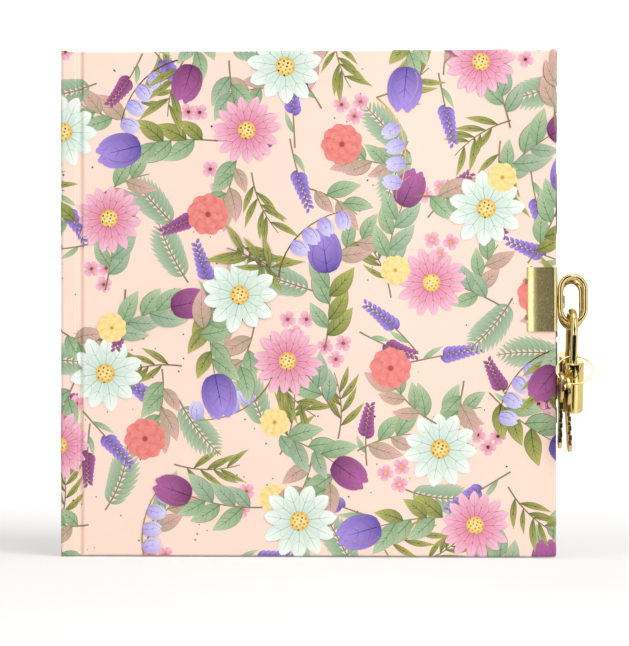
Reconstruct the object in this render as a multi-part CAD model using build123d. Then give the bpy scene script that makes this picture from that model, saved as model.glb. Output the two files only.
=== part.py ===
from build123d import *
import os
from math import asin, cos, degrees, radians, sin

# A lockable diary that stands upright: +X to the fore-edge, +Z to the head, front cover towards -Y.
# The origin is the middle of the back cover's outer face. All sizes are millimetres.

# Case sizes
BOOK_W = 165.0            # spine face to fore-edge
BOOK_H = 168.0            # tail to head
BOARD_T = 2.3             # greyboard of the covers
SPINE_BOARD_T = 1.8       # greyboard of the spine
COVER_PAPER = 0.25        # laminated printed paper
ENDPAPER = 0.15           # pastedown and flyleaf
TURN_IN = 3.5             # cover paper folded over the board's inside, up to the pastedown
BOARD_ROUND = 0.45        # softened board edges
HINGE_W = 8.2             # spine face to the board's back edge
SPINE_EDGE = 4.5          # spine face to the groove's near side
SPINE_ROUND = 1.2         # rounded shoulders of the spine
GROOVE_DEPTH = 1.3        # how far the paper dips in the joint groove
SPINE_CAP = 0.45          # spine paper stands past the boards at head and tail

# Page block sizes
LEAF_T = 0.10
LEAVES_PER_SECTION = 8
SECTIONS = 6
PAGE_INSET = 3.5          # pages short of the covers at head, tail and fore-edge
SECTION_FOLD_R = 0.35     # rounded fold of a section
BACK_SLACK = 0.10         # room between the pages and the back cover
FRONT_SLACK = 0.84        # room between the pages and the front cover
LINING_T = 0.30           # gauze glued to the block's back
HOLLOW = 0.50             # room between the gauze and the spine board

# Clip sizes
CLIP_W = 9.7              # fore-edge to the clip's foot
CLIP_L = 21.3
CLIP_T = 0.5              # brass sheet
CLIP_RISE = 0.75          # crown above the cover
CLIP_SINK = 0.10          # foot and crown press into the cover paper
CLIP_FOOT_RUN = 3.6       # curved run from the foot to the flat crown
CLIP_BEND_R = 1.3         # outside bend over the fore-edge
CLIP_INNER_REACH = 8.5    # inner leg behind the cover
CLIP_Z = 1.33             # clip above the middle of the cover
BACK_CLIP_DROP = 1.6      # back clip fitted lower than the front one
TOOTH_W = 1.7
TOOTH_OUT = 0.45
TOOTH_H = 0.4
TOOTH_SPREAD = 12.0

# Ring sizes
RING_WIRE = 1.9
RING_W = 10.3
RING_L = 17.2
RING_SLIT = 0.15          # butt joint of the bent wire
RING_PLAY = 0.10          # ring wire clear of the clip's wall and eye
EYE_W = 2.6
EYE_LIP = 25.0            # degrees that the eye closes past the side
FRONT_RING_TILT = 13.0    # degrees, outer side to the back
BACK_RING_TILT = 34.0     # degrees, outer side to the front

# Padlock sizes
LOCK_W = 20.0
LOCK_H = 17.0
LOCK_T = 7.3
LOCK_EDGE = 0.45          # bevel round the case's top and bottom
SHACKLE_WIRE = 2.5
SHACKLE_CC = 12.7
SHACKLE_RISE = 16.8       # crown above the body
TOE_DEPTH = 5.0
HEEL_DEPTH = 13.0
BORE_PLAY = 0.08
RELEASE = 6.5             # shackle travel when unlocked
LOCK_YAW = 8.0            # degrees, near end turned to the right
LOCK_PITCH = 12.0         # degrees, near end down
FRONT_WIRE_AT = (2.05, 3.15)   # ring wire inside the shackle: towards the near leg, and up

# Lock works
PLUG_R = 2.4
PLUG_LIP = 0.4
KEYWAY_W = 1.2
KEYWAY_H = 3.9
PIN_R = 0.5
PIN_THROW = 1.2
PIN_L = 1.3
PIN_ROOT = 0.2
PIN_PLAY = 0.4
LATCH_T = 1.4
LATCH_W = 4.2
LATCH_X0 = -1.6
LATCH_X1 = 3.4
NOSE_W = 1.6
NOSE_REACH = 0.95         # nose into the toe's notch
NOTCH_PLAY = 0.12
LATCH_TOP = 2.0           # latch below the body's top

# Keys
KEY_T = 1.1
BOW_D = 10.4
BOW_HOLE_D = 4.4
BOW_HOLE_UP = 2.4
BLADE_W = 4.2
BLADE_L = 15.0
KEY_HANG = 0.25           # hole's middle below the ring's wire
KEY_CUTS = (1.3, 0.8, 1.5, 1.0)
KEY_CUT_W = 1.6
KEY_CUT_STEP = 3.1
KEY_CUT_START = 2.6

# Key ring
KEYRING_D = 12.5
KEYRING_WIRE = 0.5        # flat-sided spring wire
KEYRING_EDGE = 0.1        # its broken corners
KEYRING_LEAN = 40.0       # degrees, top towards the back
KEYRING_FROM_LEG = (0.33, -2.38, -2.81)   # ring's middle from the near leg at the body's top
# Each key's place on the ring, yaw, swing and sideways lean, in degrees
KEY_SPREAD = ((-138.0, 8.0, 2.0, 0.8), (-117.0, 12.5, 0.0, -3.0))

# Places worked out from the sizes above
X0 = -BOOK_W / 2
X1 = BOOK_W / 2
COVER_T = COVER_PAPER + BOARD_T + ENDPAPER
SECTION_T = LEAF_T * LEAVES_PER_SECTION
BLOCK_T = SECTION_T * SECTIONS
BOOK_T = 2 * COVER_T + BACK_SLACK + FRONT_SLACK + 2 * ENDPAPER + BLOCK_T
SPINE_LIP = X0 + COVER_PAPER + SPINE_BOARD_T
BLOCK_X0 = SPINE_LIP + HOLLOW + LINING_T
BLOCK_X1 = X1 - PAGE_INSET
BLOCK_Y0 = -(COVER_T + BACK_SLACK + ENDPAPER)
BLOCK_H = BOOK_H - 2 * PAGE_INSET
SPINE_H = BOOK_H + 2 * SPINE_CAP
CLIP_TOP_Y = -BOOK_T - CLIP_RISE
CLIP_WALL_X = X1 + CLIP_T
RING_R = RING_WIRE / 2
RING_AXIS_X = CLIP_WALL_X + RING_PLAY + RING_R
RING_AXIS_DEPTH = 1.4
RING_CW = RING_W - RING_WIRE
RING_CL = RING_L - RING_WIRE
SHACKLE_R = SHACKLE_WIRE / 2
LOCK_TOP = SHACKLE_CC / 2 + SHACKLE_R - SHACKLE_RISE
LOCK_BOTTOM = LOCK_TOP - LOCK_H
LATCH_Z = LOCK_TOP - LATCH_TOP - LATCH_T
PLUG_TOP = LATCH_Z - BORE_PLAY
NOSE_TIP = SHACKLE_CC / 2 - SHACKLE_R + NOSE_REACH


def block(x0, x1, y0, y1, z0, z1):
    """A box between two corners."""
    size = (abs(x1 - x0), abs(y1 - y0), abs(z1 - z0))
    return Pos((x0 + x1) / 2, (y0 + y1) / 2, (z0 + z1) / 2) * Box(*size)


def mirrored(part):
    """The same piece on the back cover."""
    return mirror(part, about=Plane.XZ.offset(BOOK_T / 2))


def outer_edges(part, y):
    """The edges of the outer face at y, but not the one at the hinge side."""
    edges = part.edges().filter_by(lambda e: abs(e.center().Y - y) < 1e-4)
    return edges.filter_by(lambda e: e.center().X > X0 + HINGE_W + 1)


def clip_pocket(clip_z):
    """Room that the front clip's inner leg presses into the cover."""
    inner = -BOOK_T + COVER_T
    pocket = block(X1 - CLIP_INNER_REACH, X1 + 1, inner - CLIP_T, inner + 1, -CLIP_L / 2, CLIP_L / 2)
    return Pos(0, 0, clip_z) * pocket


def clip_dent(clip_z):
    """The dent that the front clip's crown and teeth press into the cover paper."""
    floor = -BOOK_T + CLIP_SINK
    foot = X1 - CLIP_W
    dent = block(foot, X1 + 1, -BOOK_T - 1, floor, -CLIP_L / 2, CLIP_L / 2)
    tooth = block(foot - TOOTH_OUT, foot, -BOOK_T - 1, floor, -TOOTH_W / 2, TOOTH_W / 2)
    teeth = [Pos(0, 0, z) * tooth for z in (-TOOTH_SPREAD / 2, TOOTH_SPREAD / 2)]
    return Pos(0, 0, clip_z) * (dent + teeth)


def cover_board(clip_z):
    half = BOOK_H / 2 - COVER_PAPER
    outer = -BOOK_T + COVER_PAPER
    board = block(X0 + HINGE_W, X1 - COVER_PAPER, outer, outer + BOARD_T, -half, half)
    return fillet(outer_edges(board, outer), BOARD_ROUND) - clip_pocket(clip_z)


def cover_paper(clip_z):
    """Printed paper over the board's face and edges, turned in behind it."""
    half = BOOK_H / 2
    outer = -BOOK_T
    inner = outer + COVER_T
    shell = block(X0 + HINGE_W, X1, outer, inner, -half, half)
    shell = fillet(outer_edges(shell, outer), BOARD_ROUND + COVER_PAPER)
    half_board = half - COVER_PAPER
    board = block(X0, X1 - COVER_PAPER, outer + COVER_PAPER, inner - ENDPAPER, -half_board, half_board)
    board = fillet(outer_edges(board, outer + COVER_PAPER), BOARD_ROUND)
    window = block(X0, X1 - TURN_IN, inner - COVER_PAPER, inner + 1, TURN_IN - half, half - TURN_IN)
    return shell - board - window - clip_pocket(clip_z) - clip_dent(clip_z)


def cover_endpaper(clip_z):
    """The pastedown, inside the frame of turned-in paper."""
    inner = -BOOK_T + COVER_T
    half = BOOK_H / 2 - TURN_IN
    sheet = block(X0 + HINGE_W, X1 - TURN_IN, inner - ENDPAPER, inner, -half, half)
    return sheet - clip_pocket(clip_z)


def joint_line(shift):
    """The paper's line over the joint, from the spine to the board, moved inwards by shift."""
    top = -BOOK_T
    start, end = X0 + SPINE_EDGE, X0 + HINGE_W
    run, drop = (end - start) / 4, GROOVE_DEPTH / 2
    bend = (run**2 + drop**2) / (2 * drop)
    turn = degrees(asin(run / bend))
    low = top + GROOVE_DEPTH - bend
    return [
        Line((SPINE_LIP, top + shift), (start, top + shift)),
        CenterArc((start, top + bend), bend - shift, 270, turn),
        CenterArc(((start + end) / 2, low), bend + shift, 90 - turn, 2 * turn),
        CenterArc((end, top + bend), bend - shift, 270 - turn, turn),
    ]


def front_joint_paper():
    """Paper across the front joint groove, which bends as the cover opens."""
    outside = joint_line(0)
    inside = joint_line(COVER_PAPER)
    ends = [Line(outside[0] @ 0, inside[0] @ 0), Line(outside[-1] @ 1, inside[-1] @ 1)]
    face = make_face([*outside, *inside, *ends])
    return Pos(0, 0, -BOOK_H / 2) * extrude(face, BOOK_H, dir=(0, 0, 1))


def spine_outline(inset):
    """The spine's outline with rounded shoulders, moved inwards by inset."""
    outer = block(X0 + inset, SPINE_LIP, -BOOK_T + inset, -inset, -1, 1)
    corners = outer.edges().filter_by(Axis.Z).group_by(Axis.X)[0]
    return fillet(corners, SPINE_ROUND - inset)


def tall(strip, half):
    """A 2 mm high strip redrawn between -half and half."""
    face = strip.faces().sort_by(Axis.Z)[-1]
    return Pos(0, 0, -half - 1) * extrude(face, 2 * half, dir=(0, 0, 1))


def spine_board():
    """Stiff strip behind the spine paper."""
    return tall(spine_outline(COVER_PAPER), BOOK_H / 2 - COVER_PAPER)


def spine_paper():
    """Printed paper round the spine board, folded over its head and tail."""
    board_half = BOOK_H / 2 - COVER_PAPER
    board = tall(spine_outline(COVER_PAPER), board_half)
    return tall(spine_outline(0), SPINE_H / 2) - board


def flyleaf(y):
    """Free half of an endpaper, lying on the pages at depth y."""
    return block(BLOCK_X0, BLOCK_X1, y, y - ENDPAPER, -BLOCK_H / 2, BLOCK_H / 2)


def section(number):
    """One folded section, counted from the front, with its fold at the spine."""
    y = BLOCK_Y0 - SECTION_T * (SECTIONS - number)
    sheet = block(BLOCK_X0, BLOCK_X1, y, y - SECTION_T, -BLOCK_H / 2, BLOCK_H / 2)
    fold = sheet.edges().filter_by(Axis.Z).group_by(Axis.X)[0]
    return fillet(fold, SECTION_FOLD_R)


def spine_lining(y0, y1):
    """Gauze strip on one half of the block's spine."""
    return block(BLOCK_X0 - LINING_T, BLOCK_X0, y0, y1, -BLOCK_H / 2, BLOCK_H / 2)


def clip_profile():
    """The front clip seen along Z: a domed outer leg, a wall and a flat inner leg."""
    rise = CLIP_RISE
    foot_r = (CLIP_FOOT_RUN**2 + rise**2) / (2 * rise)
    foot_a = degrees(asin(CLIP_FOOT_RUN / foot_r))
    foot_x = X1 - CLIP_W
    dome = CenterArc((foot_x + CLIP_FOOT_RUN, CLIP_TOP_Y + foot_r), foot_r, 270 - foot_a, foot_a)
    bend = CenterArc((CLIP_WALL_X - CLIP_BEND_R, CLIP_TOP_Y + CLIP_BEND_R), CLIP_BEND_R, 270, 90)
    leg_y = -BOOK_T + COVER_T
    under_y = -BOOK_T + CLIP_SINK
    tip_x = X1 - CLIP_INNER_REACH
    rest = Polyline(bend @ 1, (CLIP_WALL_X, leg_y), (tip_x, leg_y), (tip_x, leg_y - CLIP_T),
                    (X1, leg_y - CLIP_T), (X1, under_y), (foot_x, under_y), dome @ 0)
    return make_face([dome, Line(dome @ 1, bend @ 0), bend, rest])


def ring_eye():
    """Tongue that curls round the ring's leg from the inner side, seen along Z."""
    inner_r = RING_R + RING_PLAY
    outer_r = inner_r + CLIP_T
    centre = (RING_AXIS_X, -BOOK_T + RING_AXIS_DEPTH)
    sweep_a = 180 + EYE_LIP
    out_arc = CenterArc(centre, outer_r, -EYE_LIP, sweep_a)
    in_arc = CenterArc(centre, inner_r, -EYE_LIP, sweep_a)
    return make_face([out_arc, in_arc, Line(out_arc @ 0, in_arc @ 0), Line(out_arc @ 1, in_arc @ 1)])


def front_clip():
    sheet = Pos(0, 0, -CLIP_L / 2) * extrude(clip_profile(), CLIP_L, dir=(0, 0, 1))
    eye = Pos(0, 0, -EYE_W / 2) * extrude(ring_eye(), EYE_W, dir=(0, 0, 1))
    foot = X1 - CLIP_W
    under = -BOOK_T + CLIP_SINK
    tooth = block(foot - TOOTH_OUT, foot + TOOTH_OUT, under - TOOTH_H, under, -TOOTH_W / 2, TOOTH_W / 2)
    teeth = [Pos(0, 0, z) * tooth for z in (-TOOTH_SPREAD / 2, TOOTH_SPREAD / 2)]
    return Pos(0, 0, CLIP_Z) * (sheet + eye + teeth)


def link(width, length, wire):
    """A long wire ring in the XZ plane, with its left leg on the Z axis."""
    bend = width / 2
    leg = length - width
    ring = Cylinder(wire / 2, leg) + Pos(width, 0, 0) * Cylinder(wire / 2, leg)
    tube = Plane.XY * Pos(-bend, 0) * Circle(wire / 2)
    arch = revolve(tube, Axis.Y, 180)
    top = Pos(bend, 0, leg / 2) * arch
    other = Pos(bend, 0, -leg / 2) * mirror(arch, about=Plane.XY)
    return ring + top + other


def ring():
    """A clip's ring with the butt joint of its wire in the left leg."""
    slit = Box(2 * RING_WIRE, 2 * RING_WIRE, RING_SLIT)
    return link(RING_CW, RING_CL, RING_WIRE) - slit


def front_ring():
    place = Pos(RING_AXIS_X, -BOOK_T + RING_AXIS_DEPTH, CLIP_Z)
    return place * Rot(0, 0, FRONT_RING_TILT) * ring()


def back_ring():
    place = Pos(RING_AXIS_X, -RING_AXIS_DEPTH, CLIP_Z - BACK_CLIP_DROP)
    return place * Rot(0, 0, -BACK_RING_TILT) * ring()


def lock_plane():
    """The padlock's own frame: X from the far leg to the near leg, Z from the body to the crown."""
    yaw, pitch = radians(LOCK_YAW), radians(LOCK_PITCH)
    near = Vector(sin(yaw) * cos(pitch), -cos(yaw) * cos(pitch), -sin(pitch))
    up = Vector(sin(yaw) * sin(pitch), -cos(yaw) * sin(pitch), cos(pitch))
    wire = Vector(RING_AXIS_X, -BOOK_T + RING_AXIS_DEPTH, CLIP_Z - RING_CL / 2)
    tilt = radians(FRONT_RING_TILT)
    wire += Vector(cos(tilt), sin(tilt), 0) * (RING_CW / 2)
    origin = wire - near * FRONT_WIRE_AT[0] - up * FRONT_WIRE_AT[1]
    return Plane(origin=origin, x_dir=near, z_dir=up)


def toe_notch():
    """The cut in the near leg: square above, and sloped below so that the latch can ride out."""
    slope = PIN_THROW / RELEASE
    top = LATCH_Z + LATCH_T + NOTCH_PLAY
    foot = LATCH_Z - NOTCH_PLAY
    end = LOCK_TOP - TOE_DEPTH - 1
    deep = NOSE_TIP + NOTCH_PLAY
    points = [(0, top), (deep, top), (deep, foot), (deep - slope * (foot - end), end), (0, end)]
    face = Plane.XZ * make_face(Polyline(*points, close=True))
    return extrude(face, 2 * SHACKLE_WIRE, both=True)


def shackle():
    half = SHACKLE_CC / 2
    crown = revolve(Plane.XY * Pos(-half, 0) * Circle(SHACKLE_R), Axis.Y, 180)
    heel_end = LOCK_TOP - HEEL_DEPTH
    toe_end = LOCK_TOP - TOE_DEPTH
    heel = Pos(-half, 0, heel_end / 2) * Cylinder(SHACKLE_R, -heel_end)
    toe = Pos(half, 0, toe_end / 2) * Cylinder(SHACKLE_R, -toe_end)
    toe = chamfer(toe.edges().sort_by(Axis.Z)[0], SHACKLE_R / 4)
    return crown + heel + toe - toe_notch()


def lock_cavity():
    """Bores for the legs and the plug, the latch's room and the spring's pocket."""
    bore = SHACKLE_R + BORE_PLAY
    half = SHACKLE_CC / 2
    heel_l = HEEL_DEPTH + BORE_PLAY
    toe_l = TOE_DEPTH + BORE_PLAY
    room = Pos(-half, 0, LOCK_TOP - heel_l / 2) * Cylinder(bore, heel_l)
    room += Pos(half, 0, LOCK_TOP - toe_l / 2) * Cylinder(bore, toe_l)
    plug_l = PLUG_TOP + BORE_PLAY - LOCK_BOTTOM
    room += Pos(0, 0, LOCK_BOTTOM + plug_l / 2) * Cylinder(PLUG_R + BORE_PLAY, plug_l)
    x0 = -half + bore + PLUG_LIP
    side = LATCH_W / 2 + BORE_PLAY
    room += block(x0, half, -side, side, LATCH_Z - BORE_PLAY, LATCH_Z + LATCH_T + BORE_PLAY)
    return room


def lock_body():
    outline = SlotOverall(LOCK_W, LOCK_T)
    solid = Pos(0, 0, LOCK_BOTTOM) * extrude(outline, LOCK_H, dir=(0, 0, 1))
    rims = solid.edges().group_by(Axis.Z)
    return chamfer(rims[0] + rims[-1], LOCK_EDGE) - lock_cavity()


def lock_shell(side):
    """One half of the padlock's case, split down the middle of its thickness."""
    cut = block(-LOCK_W, LOCK_W, 0, side * LOCK_T, LOCK_BOTTOM - 1, LOCK_TOP + 1)
    return lock_body() & cut


def lock_plug():
    length = PLUG_TOP - LOCK_BOTTOM
    barrel = Pos(0, 0, LOCK_BOTTOM + length / 2) * Cylinder(PLUG_R, length)
    high, wide = KEYWAY_H / 2, KEYWAY_W / 2
    keyway = block(-high, high, -wide, wide, LOCK_BOTTOM - 1, PLUG_TOP - PIN_L)
    pin = Pos(PIN_THROW, 0, PLUG_TOP + PIN_L / 2 - PIN_ROOT) * Cylinder(PIN_R, PIN_L)
    return barrel - keyway + pin


def lock_latch():
    z0, z1 = LATCH_Z, LATCH_Z + LATCH_T
    plate = block(LATCH_X0, LATCH_X1, -LATCH_W / 2, LATCH_W / 2, z0, z1)
    nose = block(LATCH_X1, NOSE_TIP, -NOSE_W / 2, NOSE_W / 2, z0, z1)
    reach = PIN_THROW + PIN_R + PIN_PLAY
    wide = PIN_R + PIN_PLAY
    slot = block(PIN_THROW - wide, PIN_THROW + wide, -reach, wide, z0 - 1, z1 + 1)
    return plate + nose - slot


def key_blade_cuts():
    """The notches down one edge of the blade, for the key in its own frame."""
    cuts = []
    for i, depth in enumerate(KEY_CUTS):
        z = -BOW_D / 2 - KEY_CUT_START - i * KEY_CUT_STEP
        edge = BLADE_W / 2
        points = [(edge + 1, z + KEY_CUT_W), (edge, z + KEY_CUT_W / 2), (edge - depth, z + 0.3),
                  (edge - depth, z - 0.3), (edge, z - KEY_CUT_W / 2), (edge + 1, z - KEY_CUT_W)]
        face = Plane.XZ * make_face(Polyline(*points, close=True))
        cuts.append(extrude(face, 2 * KEY_T, both=True))
    return cuts


def key():
    """A flat key in the XZ plane, blade down, with the middle of its bow's hole at the origin."""
    bow = Cylinder(BOW_D / 2, KEY_T, rotation=(90, 0, 0))
    bow = chamfer(bow.edges().filter_by(GeomType.CIRCLE), KEY_T / 5)
    half = BLADE_W / 2
    tip = -BOW_D / 2 - BLADE_L
    nib, shoulder = half / 3, tip + half
    points = [(-half, 0), (half, 0), (half, shoulder), (nib, tip), (-nib, tip), (-half, shoulder)]
    blade = extrude(Plane.XZ * make_face(Polyline(*points, close=True)), KEY_T / 2, both=True)
    hole = Pos(0, 0, BOW_HOLE_UP) * Cylinder(BOW_HOLE_D / 2, 4 * KEY_T, rotation=(90, 0, 0))
    return Pos(0, 0, -BOW_HOLE_UP) * (bow + blade - hole - key_blade_cuts())


def keyring_plane():
    """The key ring's frame: it hangs round the near leg and leans on the body's near end."""
    lean = radians(KEYRING_LEAN)
    up = Vector(0, sin(lean), cos(lean))
    side = Vector(1, 0, 0)
    leg_foot = lock_plane().from_local_coords(Vector(SHACKLE_CC / 2, 0, LOCK_TOP))
    return Plane(origin=leg_foot + Vector(*KEYRING_FROM_LEG), x_dir=side, z_dir=side.cross(up))


def key_ring():
    wire = Rectangle(KEYRING_WIRE, KEYRING_WIRE)
    wire = chamfer(wire.vertices(), KEYRING_EDGE)
    return keyring_plane() * revolve(Plane.XZ * Pos((KEYRING_D - KEYRING_WIRE) / 2, 0) * wire, Axis.Z)


def key_place(angle, yaw, swing, lean):
    """Where a key hangs: its hole round the ring's wire at the angle, turned, swung and leaned."""
    ring_r = (KEYRING_D - KEYRING_WIRE) / 2
    on_ring = Vector(ring_r * cos(radians(angle)), ring_r * sin(radians(angle)), 0)
    hang = keyring_plane().from_local_coords(on_ring)
    turned = Rot(0, lean, 0) * Rot(0, 0, yaw - 90) * Rot(0, swing, 0)
    return Pos(hang.X, hang.Y, hang.Z - KEY_HANG) * turned


def all_parts():
    """Every node by name."""
    block_mid = BLOCK_Y0 - BLOCK_T / 2
    parts = {
        "front_joint_paper": front_joint_paper(),
        "spine_board": spine_board(),
        "spine_paper": spine_paper(),
        "front_flyleaf": flyleaf(BLOCK_Y0 - BLOCK_T),
        "back_flyleaf": flyleaf(BLOCK_Y0 + ENDPAPER),
        "spine_lining_front": spine_lining(block_mid, BLOCK_Y0 - BLOCK_T - ENDPAPER),
        "spine_lining_back": spine_lining(block_mid, BLOCK_Y0 + ENDPAPER),
        "front_clip": front_clip(),
        "front_ring": front_ring(),
        "back_ring": back_ring(),
    }
    for name, make in (("board", cover_board), ("cover_paper", cover_paper), ("endpaper", cover_endpaper)):
        parts["front_" + name] = make(CLIP_Z)
        parts["back_" + name] = mirrored(make(CLIP_Z - BACK_CLIP_DROP))
    parts["back_joint_paper"] = mirrored(parts["front_joint_paper"])
    parts["back_clip"] = Pos(0, 0, -BACK_CLIP_DROP) * mirrored(parts["front_clip"])
    for number in range(1, SECTIONS + 1):
        parts[f"section_{number}"] = section(number)
    lock = {
        "shackle": shackle(),
        "padlock_shell_left": lock_shell(1),
        "padlock_shell_right": lock_shell(-1),
        "lock_plug": lock_plug(),
        "lock_latch": lock_latch(),
    }
    for name, solid in lock.items():
        parts[name] = lock_plane() * solid
    parts["key_ring"] = key_ring()
    for number, place in enumerate(KEY_SPREAD, 1):
        parts[f"key_{number}"] = key_place(*place) * key()
    return parts


os.makedirs("parts", exist_ok=True)
for node, solid in all_parts().items():
    export_step(solid, f"parts/{node}.step")
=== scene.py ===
"""Looks of the lockable diary: printed case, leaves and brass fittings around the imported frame."""

from __future__ import annotations

import logging
import math
import random
from dataclasses import dataclass, field
from enum import Enum
from typing import Callable, Sequence

import bpy
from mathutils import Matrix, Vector

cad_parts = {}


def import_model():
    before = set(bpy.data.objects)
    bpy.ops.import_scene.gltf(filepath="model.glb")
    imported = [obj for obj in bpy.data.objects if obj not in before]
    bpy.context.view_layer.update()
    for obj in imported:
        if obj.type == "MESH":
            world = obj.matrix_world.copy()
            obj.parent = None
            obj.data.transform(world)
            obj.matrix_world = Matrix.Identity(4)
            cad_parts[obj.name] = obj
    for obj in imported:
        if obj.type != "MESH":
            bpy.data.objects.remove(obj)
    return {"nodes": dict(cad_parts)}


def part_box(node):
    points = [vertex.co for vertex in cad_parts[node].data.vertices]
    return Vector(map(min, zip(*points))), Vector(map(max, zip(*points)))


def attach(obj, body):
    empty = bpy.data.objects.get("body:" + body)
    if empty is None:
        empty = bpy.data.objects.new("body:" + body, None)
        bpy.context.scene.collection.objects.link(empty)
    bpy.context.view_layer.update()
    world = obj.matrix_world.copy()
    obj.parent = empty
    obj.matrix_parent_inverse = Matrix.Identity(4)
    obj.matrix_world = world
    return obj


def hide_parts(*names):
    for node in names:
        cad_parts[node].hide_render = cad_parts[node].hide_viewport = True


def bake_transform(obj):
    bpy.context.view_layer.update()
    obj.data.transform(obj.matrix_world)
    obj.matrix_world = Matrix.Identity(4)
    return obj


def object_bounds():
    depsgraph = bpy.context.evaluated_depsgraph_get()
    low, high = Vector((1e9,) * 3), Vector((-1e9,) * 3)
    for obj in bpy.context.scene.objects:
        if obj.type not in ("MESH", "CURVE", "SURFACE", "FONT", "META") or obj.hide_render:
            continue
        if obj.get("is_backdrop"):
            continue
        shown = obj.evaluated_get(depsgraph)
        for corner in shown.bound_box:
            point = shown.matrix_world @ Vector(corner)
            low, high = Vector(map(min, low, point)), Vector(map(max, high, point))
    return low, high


LOG = logging.getLogger("diary")
MM = 0.001
VIEW_X, VIEW_Z = 2.33, -6.49  # what the picture's middle shows of the front cover, in millimetres

Colour = tuple[float, float, float]
Stretch = tuple[float, float, float]
Point = tuple[float, float]


def ink(code: str) -> Colour:
    """Turns a printed colour into Blender's.

    Args:
        code: six hexadecimal digits, sRGB.

    Returns:
        The linear colour.
    """
    parts = [int(code[i:i + 2], 16) / 255 for i in (0, 2, 4)]
    linear = [c / 12.92 if c <= 0.04045 else ((c + 0.055) / 1.055) ** 2.4 for c in parts]
    return linear[0], linear[1], linear[2]


def mixed(first: Colour, second: Colour, share: float) -> Colour:
    """Colour between two others."""
    r, g, b = (p + (q - p) * share for p, q in zip(first, second))
    return r, g, b


class Sock:
    """A shader value that grows Math nodes when it is used in an expression."""

    def __init__(self, sheet: "NodeSheet", socket: bpy.types.NodeSocket) -> None:
        """Wraps one output socket of a node sheet."""
        self.sheet = sheet
        self.socket = socket

    def _maths(self, operation: str, first: object, second: object) -> "Sock":
        """One Math node over two values.

        Args:
            operation: the Math node's operation.
            first: left value, a Sock or a number.
            second: right value, a Sock or a number.

        Returns:
            The node's result.
        """
        return self.sheet.node("ShaderNodeMath", {"operation": operation}, {0: first, 1: second})

    def __add__(self, other: object) -> "Sock":
        """Sum."""
        return self._maths("ADD", self, other)

    __radd__ = __add__

    def __mul__(self, other: object) -> "Sock":
        """Product."""
        return self._maths("MULTIPLY", self, other)

    __rmul__ = __mul__

    def __sub__(self, other: object) -> "Sock":
        """Difference."""
        return self._maths("SUBTRACT", self, other)

    def __rsub__(self, other: object) -> "Sock":
        """Difference the other way round."""
        return self._maths("SUBTRACT", other, self)

    def __truediv__(self, other: object) -> "Sock":
        """Quotient."""
        return self._maths("DIVIDE", self, other)

    def __rtruediv__(self, other: object) -> "Sock":
        """Quotient the other way round."""
        return self._maths("DIVIDE", other, self)

    def sine(self) -> "Sock":
        """Sine of the value, in radians."""
        return self._maths("SINE", self, 0.0)

    def floor(self) -> "Sock":
        """Next whole number down."""
        return self._maths("FLOOR", self, 0.0)

    def clamped(self) -> "Sock":
        """The value kept between 0 and 1."""
        return self.sheet.node("ShaderNodeClamp", {}, {"Value": self})


class NodeSheet:
    """A node tree that is written from the start."""

    def __init__(self, tree: bpy.types.NodeTree) -> None:
        """Empties the tree."""
        self.tree = tree
        self.tree.nodes.clear()

    def node(self, kind: str, settings: dict, inputs: dict, out: int | str = 0) -> Sock:
        """Adds a node.

        Args:
            kind: Blender's name for the node.
            settings: attributes of the node, set before its sockets.
            inputs: socket name or number to a value, a colour or a Sock.
            out: which output to hand back.

        Returns:
            The chosen output.
        """
        made = self.tree.nodes.new(kind)
        for key, value in settings.items():
            setattr(made, key, value)
        for key, value in inputs.items():
            if isinstance(value, Sock):
                self.tree.links.new(value.socket, made.inputs[key])
            else:
                made.inputs[key].default_value = value
        return Sock(self, made.outputs[out])

    def places(self, scale: Stretch = (1, 1, 1)) -> Sock:
        """Object coordinates in metres, stretched by a scale."""
        raw = self.node("ShaderNodeTexCoord", {}, {}, "Object")
        return self.node("ShaderNodeMapping", {}, {"Vector": raw, "Scale": scale})

    def axis(self, which: str) -> Sock:
        """One object coordinate, in metres."""
        raw = self.node("ShaderNodeTexCoord", {}, {}, "Object")
        return self.node("ShaderNodeSeparateXYZ", {}, {0: raw}, which)

    def noise(self, scale: float, stretch: Stretch = (1, 1, 1), detail: float = 3.0) -> Sock:
        """Noise of the given grains per metre, from 0 to 1."""
        values = {"Vector": self.places(stretch), "Scale": scale, "Detail": detail, "Roughness": 0.55}
        return self.node("ShaderNodeTexNoise", {}, values)

    def fibre(self) -> Sock:
        """Paper fibres that lie along the height, from 0 to 1."""
        return self.noise(2500.0, (1.0, 1.0, 0.35))

    def rays(self, *kinds: str) -> Sock:
        """1 for a ray of any of the given kinds, 0 for any other."""
        found = [self.node("ShaderNodeLightPath", {}, {}, f"Is {kind} Ray") for kind in kinds]
        return sum(found[1:], found[0]).clamped()

    def blended(self, share: Sock, first: object, second: object) -> Sock:
        """Colour mix.

        Args:
            share: how much of the second colour.
            first: a colour or a colour Sock.
            second: a colour or a colour Sock.

        Returns:
            The mixed colour.
        """
        full = [(*c, 1.0) if isinstance(c, tuple) else c for c in (first, second)]
        return self.node("ShaderNodeMix", {"data_type": "RGBA"}, {0: share, 6: full[0], 7: full[1]}, 2)

    def bump(self, height: Sock, depth_mm: float) -> Sock:
        """Normal bent by a height from 0 to 1 over a depth in millimetres."""
        return self.node("ShaderNodeBump", {}, {"Height": height, "Distance": depth_mm * MM, "Strength": 1.0})

    def end_in(self, kind: str, shader: Sock) -> None:
        """Links a shader to a new output node of the given kind."""
        self.tree.links.new(shader.socket, self.tree.nodes.new(kind).inputs["Surface"])


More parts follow.
